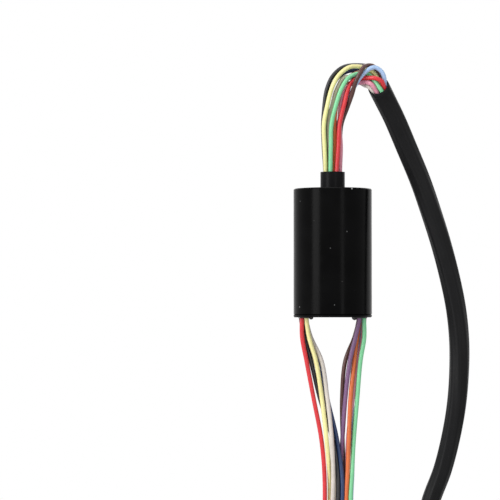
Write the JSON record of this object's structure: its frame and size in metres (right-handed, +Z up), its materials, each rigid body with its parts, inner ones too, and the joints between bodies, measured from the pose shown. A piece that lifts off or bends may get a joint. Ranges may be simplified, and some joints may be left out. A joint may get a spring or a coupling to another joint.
{
  "type": "slip ring",
  "caption": "miniature capsule slip ring: a black cylindrical housing with a hollow rotor stub, coloured leads fanning out below and arching from the stub into a sleeve",
  "frame": {"origin": "centre of the housing, on the axis of the shaft", "axes": "+Z up the shaft and out of the stub, -Y the front that the picture shows, +X to its right"},
  "size_m": [0.031, 0.0135, 0.1479],
  "materials": {
    "housing": "moulded black plastic, fine satin grain",
    "end_cap": "moulded black plastic, satin",
    "seal": "black potting compound, slightly glossy",
    "race": "ground bearing steel",
    "ball": "polished bearing steel",
    "shaft": "moulded black plastic, satin",
    "clip": "spring steel",
    "core": "moulded insulating plastic, ivory",
    "ring": "gold-plated ring",
    "brush_block": "glass-filled board",
    "brush_wire": "gold-plated spring strip",
    "sleeve": "soft black heat-shrink sleeve, satin",
    "hank": "bundle of insulated leads",
    "tie": "moulded natural plastic",
    "lead_black": "black lead insulation, smooth",
    "lead_brown": "brown lead insulation, smooth",
    "lead_red": "red lead insulation, smooth",
    "lead_light_blue": "light blue lead insulation, smooth",
    "lead_yellow": "yellow lead insulation, smooth",
    "lead_green": "green lead insulation, smooth",
    "lead_blue": "blue lead insulation, smooth",
    "lead_pink": "pink lead insulation, smooth",
    "lead_white": "white lead insulation, smooth",
    "lead_orange": "orange lead insulation, smooth",
    "lead_grey": "grey lead insulation, smooth",
    "lead_violet": "violet lead insulation, smooth"
  },
  "bodies": {
    "stator": {"housing": "housing", "end_cap": "end_cap", "exit_seal_left": "seal", "exit_seal_right": "seal", "upper_bearing_outer": "race", "lower_bearing_outer": "race", "brush_block_left": "brush_block", "brush_block_right": "brush_block", "brushes_left": "brush_wire", "brushes_right": "brush_wire", "stator_lead_black": "lead_black", "stator_lead_brown": "lead_brown", "stator_lead_red": "lead_red", "stator_lead_light_blue": "lead_light_blue", "stator_lead_yellow": "lead_yellow", "stator_lead_green": "lead_green", "stator_lead_blue": "lead_blue", "stator_lead_pink": "lead_pink", "stator_lead_white": "lead_white", "stator_lead_orange": "lead_orange", "stator_lead_grey": "lead_grey", "stator_lead_violet": "lead_violet", "stator_hank": "hank", "stator_tie": "tie"},
    "rotor": {"rotor_shaft": "shaft", "retaining_clip": "clip", "ring_core": "core", "ring_black": "ring", "ring_brown": "ring", "ring_red": "ring", "ring_light_blue": "ring", "ring_yellow": "ring", "ring_green": "ring", "ring_blue": "ring", "ring_pink": "ring", "ring_white": "ring", "ring_orange": "ring", "ring_grey": "ring", "ring_violet": "ring", "upper_bearing_inner": "race", "lower_bearing_inner": "race", "rotor_lead_black": "lead_black", "rotor_lead_brown": "lead_brown", "rotor_lead_red": "lead_red", "rotor_lead_light_blue": "lead_light_blue", "rotor_lead_yellow": "lead_yellow", "rotor_lead_green": "lead_green", "rotor_lead_blue": "lead_blue", "rotor_lead_pink": "lead_pink", "rotor_lead_white": "lead_white", "rotor_lead_orange": "lead_orange", "rotor_lead_grey": "lead_grey", "rotor_lead_violet": "lead_violet", "lead_sleeve": "sleeve", "rotor_hank": "hank", "rotor_tie": "tie"},
    "upper_ball_ring": {"upper_bearing_balls": "ball"},
    "lower_ball_ring": {"lower_bearing_balls": "ball"}
  },
  "joints": [
    {"name": "rotor_turn", "type": "hinge", "parent": "stator", "child": "rotor", "pos_m": [0, 0, 0], "axis": [0, 0, 1], "continuous": true},
    {"name": "upper_balls_circle", "type": "hinge", "parent": "stator", "child": "upper_ball_ring", "pos_m": [0, 0, 0.00825], "axis": [0, 0, 1], "continuous": true},
    {"name": "lower_balls_circle", "type": "hinge", "parent": "stator", "child": "lower_ball_ring", "pos_m": [0, 0, -0.0076], "axis": [0, 0, 1], "continuous": true}
  ],
  "couplings": [
    {"joint": "upper_balls_circle", "follows": "rotor_turn", "ratio": 0.4182},
    {"joint": "lower_balls_circle", "follows": "rotor_turn", "ratio": 0.4}
  ]
}
